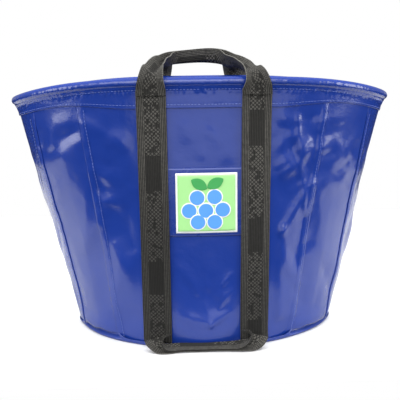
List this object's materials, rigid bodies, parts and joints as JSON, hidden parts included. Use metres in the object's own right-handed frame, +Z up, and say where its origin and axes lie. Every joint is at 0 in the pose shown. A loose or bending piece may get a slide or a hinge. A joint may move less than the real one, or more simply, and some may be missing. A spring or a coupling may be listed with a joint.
{
  "type": "fruit picking bag",
  "caption": "Tapered oval open tub bag in glossy coated fabric, with a hooped rim, webbing straps, swinging carry handles and tipping loops at the foot.",
  "frame": {"origin": "middle of the base's underside, on the ground", "axes": "+Z up, +X to the right along the mouth's long side, the face with the label looks towards -Y"},
  "size_m": [0.5674, 0.352, 0.426],
  "materials": {
    "blue_pvc": "glossy coated fabric, softly wrinkled",
    "webbing": "woven webbing with a patterned centre band",
    "hoop_plastic": "smooth extruded tube",
    "label_patch": "glossy coated fabric",
    "label_print": "printed film"
  },
  "bodies": {
    "tub": {"front_panel": "blue_pvc", "back_panel": "blue_pvc", "left_side_panel": "blue_pvc", "right_side_panel": "blue_pvc", "front_left_corner_panel": "blue_pvc", "front_right_corner_panel": "blue_pvc", "back_left_corner_panel": "blue_pvc", "back_right_corner_panel": "blue_pvc", "base_panel": "blue_pvc", "rim_band": "blue_pvc", "rim_tube": "hoop_plastic", "rim_tube_joiner": "hoop_plastic", "front_left_strap": "webbing", "front_right_strap": "webbing", "back_left_strap": "webbing", "back_right_strap": "webbing", "label_patch": "label_patch", "label_print": "label_print"},
    "front_handle": {"front_handle": "webbing"},
    "back_handle": {"back_handle": "webbing"},
    "front_tipping_loop": {"front_tipping_loop": "webbing"},
    "back_tipping_loop": {"back_tipping_loop": "webbing"}
  },
  "joints": [
    {"name": "front_handle_swing", "type": "hinge", "parent": "tub", "child": "front_handle", "pos_m": [0, -0.175, 0.389], "axis": [1, 0, 0], "range_deg": [0, 250]},
    {"name": "back_handle_swing", "type": "hinge", "parent": "tub", "child": "back_handle", "pos_m": [0, 0.175, 0.389], "axis": [-1, 0, 0], "range_deg": [0, 250]},
    {"name": "front_tipping_loop_swing", "type": "hinge", "parent": "tub", "child": "front_tipping_loop", "pos_m": [0, -0.1435, 0.008], "axis": [-1, 0, 0], "range_deg": [0, 65]},
    {"name": "back_tipping_loop_swing", "type": "hinge", "parent": "tub", "child": "back_tipping_loop", "pos_m": [0, 0.1435, 0.008], "axis": [1, 0, 0], "range_deg": [0, 65]}
  ]
}
